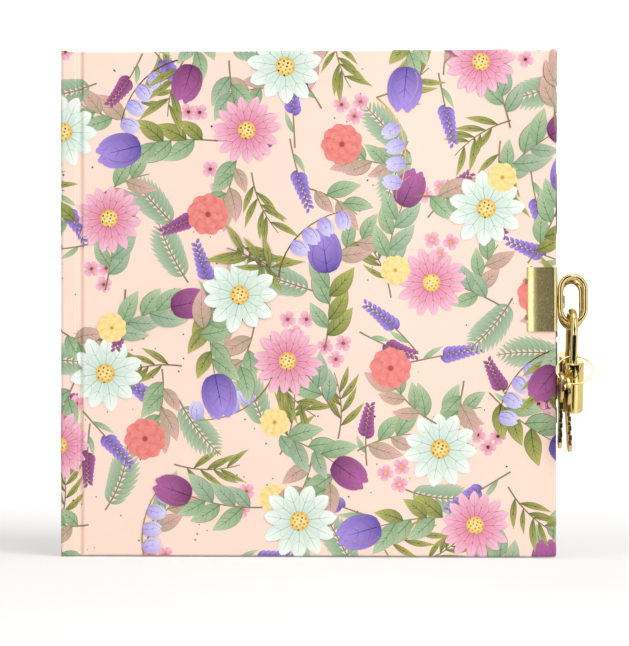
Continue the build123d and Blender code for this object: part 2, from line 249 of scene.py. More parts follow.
class MaterialSheet(NodeSheet):
    """The node tree of one material, with a Principled shader at its end."""

    def __init__(self, name: str) -> None:
        """Starts a material with an empty tree.

        Args:
            name: the material's name.
        """
        self.material = bpy.data.materials.new(name)
        self.material.use_nodes = True
        super().__init__(self.material.node_tree)

    def principled(self, inputs: dict) -> bpy.types.Material:
        """Ends the tree in a Principled shader.

        Args:
            inputs: socket name to value or Sock; a colour may leave out its alpha.

        Returns:
            The finished material.
        """
        filled = {k: (*v, 1.0) if isinstance(v, tuple) and len(v) == 3 else v for k, v in inputs.items()}
        self.end_in("ShaderNodeOutputMaterial", self.node("ShaderNodeBsdfPrincipled", {}, filled))
        return self.material


@dataclass(frozen=True)
class PaperFinish:
    """Paper with fibres, a faint tone and an optional laminate."""

    name: str
    colour: Colour
    tone: Colour
    roughness: float
    laminate: float = 0.0
    fibre_mm: float = 0.01
    cloud_grain: float = 60.0
    sway: float = 0.12
    coat_roughness: float = 0.3

    def make(self) -> bpy.types.Material:
        """Builds the material.

        Returns:
            Paper whose fibres show in its tone and its gloss.
        """
        sheet = MaterialSheet(self.name)
        cloud = sheet.noise(self.cloud_grain)
        fibre = sheet.fibre()
        return sheet.principled({
            "Base Color": sheet.blended((cloud * 0.7 + fibre * 0.3).clamped(), self.colour, self.tone),
            "Roughness": self.roughness + (fibre - 0.5) * self.sway,
            "Coat Weight": self.laminate,
            "Coat Roughness": self.coat_roughness,
            "Normal": sheet.bump(fibre, self.fibre_mm),
        })


@dataclass(frozen=True)
class InkFinish:
    """Printed ink whose colour is painted on the mesh."""

    name: str
    attribute: str
    roughness: float = 0.42
    wash_grain: float = 900.0
    lightness: float = 1.12
    saturation: float = 0.9
    sway: float = 0.12
    laminate: float = 0.15
    coat_roughness: float = 0.3
    fibre_mm: float = 0.008

    def make(self) -> bpy.types.Material:
        """Builds the material.

        Returns:
            Ink with a lighter wash here and there.
        """
        sheet = MaterialSheet(self.name)
        painted = sheet.node("ShaderNodeVertexColor", {"layer_name": self.attribute}, {}, "Color")
        wash = sheet.noise(self.wash_grain, detail=5.0)
        fibre = sheet.fibre()
        faded = {"Value": self.lightness, "Saturation": self.saturation, "Color": painted}
        lighter = sheet.node("ShaderNodeHueSaturation", {}, faded)
        return sheet.principled({
            "Base Color": sheet.blended(((wash - 0.35) * 1.3).clamped(), painted, lighter),
            "Roughness": self.roughness + (fibre - 0.5) * self.sway,
            "Coat Weight": self.laminate,
            "Coat Roughness": self.coat_roughness,
            "Normal": sheet.bump(fibre, self.fibre_mm),
        })


@dataclass(frozen=True)
class MetalFinish:
    """Gold-coloured metal with brush lines, smudges and tarnish."""

    name: str
    colour: Colour
    tarnish: Colour
    roughness: float
    brush: Stretch = (1.0, 1.0, 1.0)
    line_mm: float = 0.004
    smudge_grain: float = 260.0
    line_grain: float = 3000.0

    def make(self) -> bpy.types.Material:
        """Builds the material.

        Returns:
            Metal whose smudges are duller and darker.
        """
        sheet = MaterialSheet(self.name)
        smudge = sheet.noise(self.smudge_grain, detail=4.0)
        lines = sheet.noise(self.line_grain, self.brush, 2.0)
        return sheet.principled({
            "Base Color": sheet.blended(((smudge - 0.45) * 1.6).clamped(), self.colour, self.tarnish),
            "Metallic": 1.0,
            "Roughness": self.roughness + (smudge - 0.5) * 0.12 + (lines - 0.5) * 0.1,
            "Normal": sheet.bump(lines, self.line_mm),
        })


@dataclass(frozen=True)
class LeafEdgeFinish:
    """Page stock whose leaves differ a little in tone."""

    name: str
    colour: Colour
    tone: Colour
    leaf_mm: float

    def make(self) -> bpy.types.Material:
        """Builds the material.

        Returns:
            Paper with a tone of its own on each leaf.
        """
        sheet = MaterialSheet(self.name)
        count = (sheet.axis("Y") / (self.leaf_mm * MM)).floor()
        shade = sheet.node("ShaderNodeTexWhiteNoise", {"noise_dimensions": "1D"}, {"W": count})
        fibre = sheet.noise(1800.0)
        return sheet.principled({
            "Base Color": sheet.blended((shade * 0.6 + fibre * 0.4).clamped(), self.colour, self.tone),
            "Roughness": 0.78 + fibre * 0.1,
            "Normal": sheet.bump(fibre, 0.02),
        })


@dataclass(frozen=True)
class WeaveFinish:
    """Open gauze."""

    name: str
    colour: Colour
    gap: Colour
    pitch_mm: float

    def make(self) -> bpy.types.Material:
        """Builds the material.

        Returns:
            Cloth with threads along both axes of the spine.
        """
        sheet = MaterialSheet(self.name)
        turn = 2 * math.pi / (self.pitch_mm * MM)
        thread = (sheet.axis("Y") * turn).sine() * (sheet.axis("Z") * turn).sine()
        height = (thread * 0.5 + 0.5).clamped()
        return sheet.principled({
            "Base Color": sheet.blended(height, self.gap, self.colour),
            "Roughness": 0.85,
            "Normal": sheet.bump(height, 0.1),
        })


PRINT_PAPER = PaperFinish("print_paper", ink("FCE1D2"), ink("FADAC9"), 0.42, 0.2, 0.008)
COVER_INK = InkFinish("cover_ink", "ink")
GOLD_FOIL = MetalFinish("gold_foil", ink("C9A050"), ink("A87C33"), 0.24, line_mm=0.002)
ENDPAPER = PaperFinish("endpaper", ink("F6ECDF"), ink("EFE3D4"), 0.75)
GREYBOARD = PaperFinish("greyboard", ink("A79C8C"), ink("8D8374"), 0.9, 0.0, 0.05)
PAGE_STOCK = LeafEdgeFinish("page_stock", ink("F8F2E6"), ink("E6DCC9"), 0.1)
GAUZE = WeaveFinish("gauze", ink("EDE8DA"), ink("C9C2B0"), 0.6)
CLIP_BRASS = MetalFinish("clip_brass", ink("DCCB93"), ink("C2AD6E"), 0.25, (1.0, 1.0, 0.5), 0.01)
WIRE_BRASS = MetalFinish("wire_brass", ink("E2CE92"), ink("CDB471"), 0.07)
LOCK_BRASS = MetalFinish("lock_brass", ink("E3CD86"), ink("CBB067"), 0.07, (1.0, 1.0, 0.1))
KEY_BRASS = MetalFinish("key_brass", ink("DCC78B"), ink("BFA564"), 0.16, (1.0, 1.0, 0.1))


def clear_selection() -> None:
    """Leaves edit mode and deselects everything."""
    if bpy.context.object and bpy.context.object.mode != "OBJECT":
        bpy.ops.object.mode_set(mode="OBJECT")
    bpy.ops.object.select_all(action="DESELECT")


def make_active(piece: bpy.types.Object) -> None:
    """Selects one object alone and makes it the active one.

    Args:
        piece: the object.
    """
    clear_selection()
    piece.select_set(True)
    bpy.context.view_layer.objects.active = piece


def apply_modifier(piece: bpy.types.Object, kind: str, **settings: object) -> None:
    """Adds a modifier to a piece and applies it at once.

    Args:
        piece: the object.
        kind: the modifier's type.
        settings: its attributes.
    """
    make_active(piece)
    made = piece.modifiers.new(kind.title(), kind)
    for key, value in settings.items():
        setattr(made, key, value)
    bpy.ops.object.modifier_apply(modifier=made.name)


def cut_piece(piece: bpy.types.Object, place: Vector, normal: Vector, keep: bool) -> None:
    """Bisects a whole mesh by a plane.

    Args:
        piece: the object.
        place: a point on the plane.
        normal: the plane's normal.
        keep: True leaves both sides, False drops the side that the normal points to.
    """
    make_active(piece)
    bpy.ops.object.mode_set(mode="EDIT")
    bpy.ops.mesh.select_all(action="SELECT")
    bpy.ops.mesh.bisect(plane_co=place, plane_no=normal, clear_outer=not keep, threshold=1e-7)
    bpy.ops.object.mode_set(mode="OBJECT")


def select_edges(piece: bpy.types.Object, wanted: Callable[[Vector, Vector], bool]) -> None:
    """Enters edit mode with just the edges selected whose two ends wanted accepts.

    Args:
        piece: the object.
        wanted: tells from an edge's two ends whether it is selected.
    """
    make_active(piece)
    bpy.ops.object.mode_set(mode="EDIT")
    bpy.ops.mesh.select_mode(type="EDGE")
    bpy.ops.mesh.select_all(action="DESELECT")
    bpy.ops.object.mode_set(mode="OBJECT")
    corners = piece.data.vertices
    for edge in piece.data.edges:
        edge.select = wanted(*(corners[number].co for number in edge.vertices))
    bpy.ops.object.mode_set(mode="EDIT")


def move_vertices(piece: bpy.types.Object, mover: Callable[[Vector], Vector]) -> None:
    """Moves every vertex of a piece.

    Args:
        piece: the object.
        mover: gives a vertex's new place for its old one.
    """
    for vertex in piece.data.vertices:
        vertex.co = mover(vertex.co)
    piece.data.update()


def dress_nodes(nodes: dict[str, bpy.types.Object], names: Sequence[str], finish: bpy.types.Material) -> None:
    """Gives some CAD nodes one finish in all their slots.

    Args:
        nodes: the frame's nodes.
        names: which of them.
        finish: what they wear.
    """
    for name in names:
        if not nodes[name].material_slots:
            nodes[name].data.materials.append(finish)
        for slot in nodes[name].material_slots:
            slot.material = finish
        LOG.info("%s wears %s", name, finish.name)


@dataclass
class CaseSizes:
    """The case's sizes in millimetres, read from the frame and the source's own values."""

    spine_x: float = field(init=False)
    edge_x: float = field(init=False)
    lip_x: float = field(init=False)
    board_x: float = field(init=False)
    thick: float = field(init=False)
    half: float = field(init=False)
    spine_half: float = field(init=False)
    groove_start: float = 4.5
    groove_depth: float = 1.3
    shoulder: float = 1.2
    edge_round: float = 0.7
    edge_depth: float = 1.6
    paper: float = 0.25

    def __post_init__(self) -> None:
        """Reads the boxes of the case's nodes."""
        front_low, front_high = (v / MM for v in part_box("front_cover_paper"))
        spine_low, spine_high = (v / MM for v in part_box("spine_paper"))
        self.spine_x, self.lip_x = spine_low.x, spine_high.x
        self.board_x, self.edge_x = front_low.x, front_high.x
        self.thick = -spine_low.y
        self.half, self.spine_half = front_high.z, spine_high.z


class Panel(Enum):
    """The printed surfaces, in the order in which the paper wraps them."""

    FRONT = "front"
    FRONT_JOINT = "front_joint"
    SPINE = "spine"
    BACK_JOINT = "back_joint"
    BACK = "back"


@dataclass(frozen=True)
class WrapStep:
    """One sample of the wrapped paper's line: place and outward direction, seen along Z."""

    run: float
    x: float
    y: float
    out_x: float
    out_y: float


class WrapPath:
    """The printed paper's line round the closed case, measured along the paper.

    The measure equals x on the front cover's flat face, and goes on below it round the spine.
    """

    ARC_STEPS = 10

    def __init__(self, sizes: CaseSizes) -> None:
        """Samples the whole line from the front fore-edge to the back one.

        Args:
            sizes: the case's sizes.
        """
        self.sizes = sizes
        self.steps: list[WrapStep] = []
        self.ends: dict[Panel, tuple[float, float]] = {}
        self._start()
        self._front()
        self._spine()
        self._back()

    def _start(self) -> None:
        """Puts the first sample on the front fore-edge, so that measure and x agree on the cover."""
        s = self.sizes
        side = s.edge_round * (math.pi / 2 - 1)
        self.run = s.edge_x + side + s.edge_depth
        self._add(s.edge_x, -s.thick + s.edge_round + s.edge_depth, 1.0, 0.0, 0.0)

    def _add(self, x: float, y: float, out_x: float, out_y: float, length: float) -> None:
        """Adds a sample that lies length further along the paper."""
        self.run -= length
        self.steps.append(WrapStep(self.run, x, y, out_x, out_y))

    def _line(self, x: float, y: float) -> None:
        """Runs straight to a point, keeping the outward direction."""
        last = self.steps[-1]
        self._add(x, y, last.out_x, last.out_y, math.hypot(x - last.x, y - last.y))

    def _arc(self, radius: float, turn: float, hollow: bool = False) -> None:
        """Turns the paper along an arc.

        Args:
            radius: the arc's radius.
            turn: how far the outward direction turns, anticlockwise, in radians.
            hollow: True where the arc's middle is outside the case.
        """
        last = self.steps[-1]
        side = 1.0 if hollow else -1.0
        mid_x, mid_y = last.x + side * radius * last.out_x, last.y + side * radius * last.out_y
        for i in range(1, self.ARC_STEPS + 1):
            a = turn * i / self.ARC_STEPS
            ox = last.out_x * math.cos(a) - last.out_y * math.sin(a)
            oy = last.out_x * math.sin(a) + last.out_y * math.cos(a)
            self._add(mid_x - side * radius * ox, mid_y - side * radius * oy, ox, oy,
                      radius * abs(turn) / self.ARC_STEPS)

    def _groove(self) -> None:
        """Dips from the flat through the joint groove, the same both ways."""
        s = self.sizes
        run = (s.board_x - s.spine_x - s.groove_start) / 4
        drop = s.groove_depth / 2
        bend = (run**2 + drop**2) / (2 * drop)
        turn = math.asin(run / bend)
        self._arc(bend, -turn)
        self._arc(bend, 2 * turn, hollow=True)
        self._arc(bend, -turn)

    def _front(self) -> None:
        """Follows the front cover from its fore-edge, then its joint."""
        s = self.sizes
        start = self.run
        self._line(s.edge_x, -s.thick + s.edge_round)
        self._arc(s.edge_round, -math.pi / 2)
        self._line(s.board_x, -s.thick)
        self.ends[Panel.FRONT] = (self.run, start)
        start = self.run
        self._groove()
        self._line(s.lip_x, -s.thick)
        self.ends[Panel.FRONT_JOINT] = (self.run, start)

    def _back(self) -> None:
        """Follows the back joint, then the back cover to its fore-edge."""
        s = self.sizes
        start = self.run
        self._line(s.spine_x + s.groove_start, 0.0)
        self._groove()
        self.ends[Panel.BACK_JOINT] = (self.run, start)
        start = self.run
        self._line(s.edge_x - s.edge_round, 0.0)
        self._arc(s.edge_round, -math.pi / 2)
        self._line(s.edge_x, -s.edge_round - s.edge_depth)
        self.ends[Panel.BACK] = (self.run, start)

    def _spine(self) -> None:
        """Goes round the spine's two shoulders."""
        s = self.sizes
        start = self.run
        self._line(s.spine_x + s.shoulder, -s.thick)
        self._arc(s.shoulder, -math.pi / 2)
        self._line(s.spine_x, -s.shoulder)
        self._arc(s.shoulder, -math.pi / 2)
        self._line(s.lip_x, 0.0)
        self.ends[Panel.SPINE] = (self.run, start)

    def at(self, run: float) -> WrapStep:
        """Finds the paper's line at a measure.

        Args:
            run: measure along the paper.

        Returns:
            The sample there, worked out between its neighbours.
        """
        steps = self.steps
        low, high = 0, len(steps) - 1
        while high - low > 1:
            middle = (low + high) // 2
            if steps[middle].run >= run:
                low = middle
            else:
                high = middle
        a, b = steps[low], steps[high]
        share = 0.0 if a.run == b.run else min(1.0, max(0.0, (a.run - run) / (a.run - b.run)))
        ends = zip((a.x, a.y, a.out_x, a.out_y), (b.x, b.y, b.out_x, b.out_y))
        x, y, out_x, out_y = (p + (q - p) * share for p, q in ends)
        length = math.hypot(out_x, out_y)
        return WrapStep(run, x, y, out_x / length, out_y / length)

    def lay(self, run: float, rise: float, lift: float, half: float, rounded: bool) -> Vector:
        """Puts a point of the flat design on the case.

        Args:
            run: measure along the paper.
            rise: height, from the middle.
            lift: distance off the paper.
            half: height of the panel's edge.
            rounded: True where the panel's head and tail are rounded.

        Returns:
            The place, in metres.
        """
        step = self.at(run)
        out, z = lift, rise
        round_r = self.sizes.edge_round
        over = abs(rise) - (half - round_r)
        if rounded and over > 0:
            a = min(over / round_r, math.pi / 2)
            past = max(0.0, over - round_r * math.pi / 2)
            z = math.copysign(half - round_r + (round_r + lift) * math.sin(a), rise)
            out = (round_r + lift) * math.cos(a) - round_r - past
        return Vector((step.x + out * step.out_x, step.y + out * step.out_y, z)) * MM


class Blade(Enum):
    """Outlines of leaves and petals: where the widest place is, and how blunt the ends are."""

    LEAF = (0.80, 0.95)
    NARROW = (0.85, 1.10)
    PETAL = (1.55, 0.55)
    CUP = (0.75, 0.60)
    BUD = (1.00, 0.60)


@dataclass(frozen=True)
class Inks:
    """Inks of one leaf or petal: at its root, at its tip and in its veins."""

    root: Colour
    tip: Colour
    vein: Colour


SAGE = Inks(ink("7A9C6E"), ink("B9CDA6"), ink("5C7B55"))
OLIVE = Inks(ink("66762C"), ink("B9B75C"), ink("454F1E"))
FERN = Inks(ink("7C9C79"), ink("B9C9AC"), ink("5E7F5C"))
BLUSH = Inks(ink("A9A27E"), ink("E2AFA8"), ink("9A7468"))
ROSE = Inks(ink("D9668C"), ink("F6C3D6"), ink("C05178"))
VIOLET = Inks(ink("5A3FA0"), ink("A98BE0"), ink("45307F"))
PLUM = Inks(ink("6E1F5E"), ink("B25AA0"), ink("4D1442"))
CORAL = Inks(ink("C93F45"), ink("F08A80"), ink("A82E36"))
MINT = Inks(ink("BFD9C8"), ink("F6FBF4"), ink("9DBBA8"))
BUTTER = Inks(ink("E3B53F"), ink("FBE39A"), ink("C08F2B"))
LILAC = Inks(ink("A79AE0"), ink("DCD6F6"), ink("8D7FCB"))
STEM = ink("8A7350")
GOLD = ink("C9A050")


class PrintDesign:
    """The flat printed design: tossed garden flowers and leaves, in millimetres along the paper."""

    ACROSS = (-1.0, -0.6, 0.0, 0.6, 1.0)
    CELL = 0.45
    BLADE_STEPS = 9
    STEM_STEPS = 10
    DISC_SIDES = 14
    FIRST_LEAF = 2
    LAST_LEAF = 9
    SEEDS = 16
    SEED_TURN = 2.4
    BUDS = 15
    LEAFLETS = 11

    def __init__(self, seed: int) -> None:
        """Starts an empty design with its own random draws.

        Args:
            seed: where the draws start.
        """
        self.random = random.Random(seed)
        self.points: list[tuple[float, float, int]] = []
        self.colours: list[Colour] = []
        self.faces: list[tuple[int, ...]] = []
        self.foils: list[bool] = []
        self.stack: dict[tuple[int, int], int] = {}

    def _level(self, rows: list[list[Point]]) -> int:
        """Print order of a shape: one above whatever is already printed under it.

        Args:
            rows: the shape's grid.

        Returns:
            The level.
        """
        cells: set[tuple[int, int]] = set()
        for upper, lower in zip(rows, rows[1:]):
            for a, b, c, d in zip(upper, upper[1:], lower, lower[1:]):
                spans = [[math.floor(p[k] / self.CELL) for p in (a, b, c, d)] for k in (0, 1)]
                for i in range(min(spans[0]), max(spans[0]) + 1):
                    cells.update((i, j) for j in range(min(spans[1]), max(spans[1]) + 1))
        level = 1 + max(self.stack.get(cell, 0) for cell in cells)
        self.stack.update((cell, level) for cell in cells)
        return level

    def grid(self, rows: list[list[Point]], shades: list[list[Colour]], foil: bool = False) -> None:
        """Adds a shape as a grid of quads.

        Args:
            rows: rows of points.
            shades: a colour for each point.
            foil: True for gold foil.
        """
        level = self._level(rows)
        start = len(self.points)
        width = len(rows[0])
        for row, tones in zip(rows, shades):
            self.points.extend((p[0], p[1], level) for p in row)
            self.colours.extend(tones)
        for i in range(len(rows) - 1):
            for j in range(width - 1):
                a = start + i * width + j
                self.faces.append((a, a + 1, a + width + 1, a + width))
                self.foils.append(foil)

    def ribbon(self, line: Sequence[Point], wide: float, thin: float, colour: Colour,
               foil: bool = False) -> None:
        """Adds a tapering line.

        Args:
            line: its points.
            wide: width at the first point.
            thin: width at the last point.
            colour: its ink.
            foil: True for gold foil.
        """
        rows = []
        for i, (u, v) in enumerate(line):
            before, after = line[max(0, i - 1)], line[min(len(line) - 1, i + 1)]
            du, dv = after[0] - before[0], after[1] - before[1]
            length = math.hypot(du, dv) or 1.0
            half = (wide + (thin - wide) * i / (len(line) - 1)) / 2
            rows.append([(u - dv / length * half, v + du / length * half),
                         (u + dv / length * half, v - du / length * half)])
        self.grid(rows, [[colour, colour] for _ in rows], foil)

    def disc(self, centre: Point, radius: float, inner: Colour, outer: Colour, foil: bool = False) -> None:
        """Adds a round spot that shades from its middle to its rim.

        Args:
            centre: its middle.
            radius: its size.
            inner: ink in the middle.
            outer: ink at the rim.
            foil: True for gold foil.
        """
        turns = [2 * math.pi * i / self.DISC_SIDES for i in range(self.DISC_SIDES + 1)]
        rims = [(0.02, inner), (1.0, outer)]
        if inner != outer:
            rims.insert(1, (0.6, mixed(inner, outer, 0.4)))
        rows = [[(centre[0] + radius * r * math.cos(a), centre[1] + radius * r * math.sin(a)) for a in turns]
                for r, _ in rims]
        self.grid(rows, [[tone] * len(turns) for _, tone in rims], foil)

    def _axis(self, root: Point, aim: float, length: float, bend: float, t: float) -> tuple[Point, Point]:
        """A point on a bent midrib and the direction across it.

        Args:
            root: where the shape starts.
            aim: its direction there, in radians.
            length: its length.
            bend: how far it turns from root to tip, in radians.
            t: share of the length.

        Returns:
            The point and the unit vector across.
        """
        a = aim + bend * t / 2
        here = (root[0] + length * t * math.cos(a), root[1] + length * t * math.sin(a))
        b = aim + bend * t
        return here, (-math.sin(b), math.cos(b))

    def blade(self, root: Point, aim: float, length: float, width: float, shape: Blade, inks: Inks,
              bend: float = 0.0, veins: int = 0, rim: bool = False) -> None:
        """Adds a leaf or petal.

        Args:
            root: where it starts.
            aim: its direction, in radians.
            length: root to tip.
            width: across the widest place.
            shape: its outline.
            inks: its colours.
            bend: how far it turns from root to tip, in radians.
            veins: pairs of side veins.
            rim: True for a gold line along one side.
        """
        shift, blunt = shape.value
        rows, shades, edge = [], [], []
        for i in range(self.BLADE_STEPS + 1):
            t = i / self.BLADE_STEPS
            (u, v), (du, dv) = self._axis(root, aim, length, bend, t)
            half = width / 2 * max(0.02, math.sin(math.pi * min(0.995, max(0.004, t)) ** shift)) ** blunt
            rows.append([(u + du * s * half, v + dv * s * half) for s in self.ACROSS])
            tone = mixed(inks.root, inks.tip, t**0.8)
            shades.append([mixed(tone, inks.vein, (0.28 if s < 0 else 0.10) * s * s) for s in self.ACROSS])
            edge.append(rows[-1][-1])
        self.grid(rows, shades)
        if veins:
            self._veins(rows, veins, inks.vein, width)
        if rim:
            self.ribbon(edge[1:-1], 0.16, 0.10, GOLD, True)

    def _veins(self, rows: list[list[Point]], pairs: int, colour: Colour, width: float) -> None:
        """Adds a midrib and side veins.

        Args:
            rows: the leaf's grid.
            pairs: how many side veins on each side.
            colour: their ink.
            width: the leaf's width, which sets theirs.
        """
        last = len(rows) - 1
        self.ribbon([row[2] for row in rows[:last]], 0.05 * width + 0.1, 0.06, colour)
        for k in range(1, pairs + 1):
            i = max(1, round(k * (last - 2) / (pairs + 1)))
            for side in (0, 4):
                start, end = rows[i][2], rows[min(last, i + 2)][side]
                tip = (start[0] + (end[0] - start[0]) * 0.8, start[1] + (end[1] - start[1]) * 0.8)
                self.ribbon([start, tip], 0.16, 0.05, colour)

    def stem(self, root: Point, aim: float, length: float, bend: float, gold: bool = False) -> list[Point]:
        """Adds a bent stalk.

        Args:
            root: where it starts.
            aim: its direction there, in radians.
            length: its length.
            bend: how far it turns, in radians.
            gold: True for a foil stalk.

        Returns:
            Points along it.
        """
        shares = [i / self.STEM_STEPS for i in range(self.STEM_STEPS + 1)]
        line = [self._axis(root, aim, length, bend, t)[0] for t in shares]
        self.ribbon(line, 0.55, 0.3, GOLD if gold else STEM, gold)
        return line

    def leafy_stem(self, root: Point, aim: float, length: float, bend: float, inks: Sequence[Inks],
                   leaf: float, shape: Blade = Blade.LEAF, pairs: int = 3) -> Point:
        """Adds a stalk with leaves on both sides.

        Args:
            root: where it starts.
            aim: its direction there, in radians.
            length: its length.
            bend: how far it turns, in radians.
            inks: leaf colours, used in turn.
            leaf: length of a leaf.
            shape: the leaves' outline.
            pairs: how many leaves on each side.

        Returns:
            The stalk's tip.
        """
        line = self.stem(root, aim, length, bend)
        wide = 0.46 if shape is Blade.LEAF else 0.2
        span = self.LAST_LEAF - self.FIRST_LEAF
        for k in range(2 * pairs):
            place = line[self.FIRST_LEAF + round(k * span / (2 * pairs))]
            side = 1 if k % 2 else -1
            turn = aim + bend * (0.2 + 0.7 * k / (2 * pairs)) + side * self.random.uniform(0.6, 0.95)
            size = leaf * self.random.uniform(0.8, 1.1)
            self.blade(place, turn, size, size * wide, shape, inks[k % len(inks)], -side * 0.35,
                       3 if shape is Blade.LEAF else 1, k % 3 == 0)
        return line[-1]

    def daisy(self, centre: Point, radius: float, petals: int, inks: Inks, heart: Inks) -> None:
        """Adds a flower seen from above, with a stippled middle.

        Args:
            centre: its middle.
            radius: middle to petal tip.
            petals: how many.
            inks: the petals' colours.
            heart: the middle's colours.
        """
        spin = self.random.uniform(0, 2 * math.pi)
        width = 2.3 * math.pi * radius * 0.62 / petals
        for k in range(petals):
            a = spin + 2 * math.pi * k / petals
            root = (centre[0] + 0.12 * radius * math.cos(a), centre[1] + 0.12 * radius * math.sin(a))
            size = radius * self.random.uniform(0.82, 0.92)
            self.blade(root, a, size, width, Blade.PETAL, inks, self.random.uniform(-0.2, 0.2), 1, k % 4 == 0)
        self.disc(centre, radius * 0.26, heart.tip, heart.root)
        for k in range(self.SEEDS):
            a = self.SEED_TURN * k
            r = radius * 0.24 * math.sqrt((k + 0.5) / self.SEEDS)
            spot = (centre[0] + r * math.cos(a), centre[1] + r * math.sin(a))
            self.disc(spot, radius * 0.028, heart.vein, heart.vein, k % 3 == 0)

    def tulip(self, root: Point, aim: float, size: float, inks: Inks) -> None:
        """Adds a cupped flower seen from the side.

        Args:
            root: foot of the cup.
            aim: the way it opens, in radians.
            size: its height.
            inks: its colours.
        """
        for turn, share in ((-0.42, 0.92), (0.42, 0.92), (-0.2, 1.0), (0.2, 1.0)):
            self.blade(root, aim + turn, size * share, size * 0.5, Blade.CUP, inks, -turn * 0.9, 1)
        self.blade(root, aim, size * 0.86, size * 0.56, Blade.CUP, inks, 0.0, 2, True)

    def rosette(self, centre: Point, radius: float, inks: Inks) -> None:
        """Adds a full round flower of rings of petals.

        Args:
            centre: its middle.
            radius: its size.
            inks: its colours.
        """
        for ring, petals in ((1.0, 9), (0.72, 7), (0.46, 5)):
            spin = self.random.uniform(0, 2 * math.pi)
            for k in range(petals):
                a = spin + 2 * math.pi * k / petals
                size = radius * ring
                tones = Inks(mixed(inks.root, inks.tip, 1 - ring), inks.tip, inks.root)
                rim = ring == 1.0 and k % 3 == 0
                self.blade(centre, a, size, size * 0.8, Blade.PETAL, tones, 0.25, 0, rim)
        self.disc(centre, radius * 0.14, inks.vein, inks.root)

    def lavender(self, root: Point, aim: float, length: float, inks: Inks) -> None:
        """Adds a spike of small buds on a stalk.

        Args:
            root: foot of the stalk.
            aim: its direction, in radians.
            length: stalk and spike together.
            inks: the buds' colours.
        """
        bend = self.random.uniform(-0.35, 0.35)
        line = self.stem(root, aim, length, bend)
        for k in range(self.BUDS):
            t = 0.45 + 0.55 * k / (self.BUDS - 1)
            place, across = self._axis(root, aim, length, bend, t)
            side = 1 if k % 2 else -1
            size = 3.6 * (1.25 - t) + 1.0
            foot = (place[0] + across[0] * side * 0.2, place[1] + across[1] * side * 0.2)
            self.blade(foot, aim + bend * t + side * 0.7, size, size * 0.55, Blade.BUD, inks)
        self.blade(line[2], aim + 0.5, length * 0.35, 1.8, Blade.NARROW, SAGE, -0.3)

    def bells(self, root: Point, aim: float, length: float, inks: Inks) -> None:
        """Adds a nodding stalk hung with bell flowers.

        Args:
            root: foot of the stalk.
            aim: its direction, in radians.
            length: its length.
            inks: the bells' colours.
        """
        bend = self.random.choice((-1.3, 1.3))
        line = self.stem(root, aim, length, bend, gold=True)
        for i in (4, 6, 8, 10):
            hang = aim + bend * i / self.STEM_STEPS + math.copysign(1.4, bend)
            self.tulip(line[i], hang, 6.6, inks)

    def fern(self, root: Point, aim: float, length: float, inks: Inks) -> None:
        """Adds a frond of narrow leaflets.

        Args:
            root: foot of the frond.
            aim: its direction, in radians.
            length: its length.
            inks: its colours.
        """
        bend = self.random.uniform(-0.6, 0.6)
        self.stem(root, aim, length, bend)
        for k in range(self.LEAFLETS):
            t = 0.12 + 0.82 * k / (self.LEAFLETS - 1)
            place, _ = self._axis(root, aim, length, bend, t)
            size = length * 0.34 * math.sin(math.pi * (0.18 + 0.8 * t))
            for side in (-1, 1):
                turn = aim + bend * t + side * 0.95
                self.blade(place, turn, size, size * 0.26, Blade.NARROW, inks, -side * 0.4)

    def cluster(self, centre: Point, inks: Inks) -> None:
        """Adds three small four-petalled flowers.

        Args:
            centre: the place that they stand round.
            inks: the petals' colours.
        """
        for k in range(3):
            a = 2.1 * k + self.random.uniform(0, 1)
            middle = (centre[0] + 3.4 * math.cos(a), centre[1] + 3.4 * math.sin(a))
            for j in range(4):
                b = a + math.pi / 2 * j
                self.blade(middle, b, 2.9, 2.6, Blade.PETAL, inks)
            self.disc(middle, 0.6, GOLD, GOLD, True)

    def dots(self, low: Point, high: Point, number: int) -> None:
        """Scatters gold and dark specks over a rectangle.

        Args:
            low: its lower corner.
            high: its upper corner.
            number: how many specks.
        """
        for k in range(number):
            place = (self.random.uniform(low[0], high[0]), self.random.uniform(low[1], high[1]))
            if k % 3:
                self.disc(place, self.random.uniform(0.18, 0.36), GOLD, GOLD, True)
            else:
                self.disc(place, self.random.uniform(0.2, 0.4), PLUM.vein, PLUM.vein)

    def mesh(self, name: str, lift: float, step: float) -> bpy.types.Object:
        """Makes the flat design a mesh whose third coordinate is its height off the paper.

        Args:
            name: the new object's name.
            lift: height of the lowest level.
            step: height between levels.

        Returns:
            The object, with painted colours and each face marked for ink or foil.
        """
        data = bpy.data.meshes.new(name)
        data.from_pydata([(u, v, lift + level * step) for u, v, level in self.points], [], self.faces)
        painted = data.color_attributes.new(COVER_INK.attribute, "FLOAT_COLOR", "POINT")
        painted.data.foreach_set("color", [c for tone in self.colours for c in (*tone, 1.0)])
        data.polygons.foreach_set("material_index", [int(f) for f in self.foils])
        piece = bpy.data.objects.new(name, data)
        bpy.context.scene.collection.objects.link(piece)
        return piece


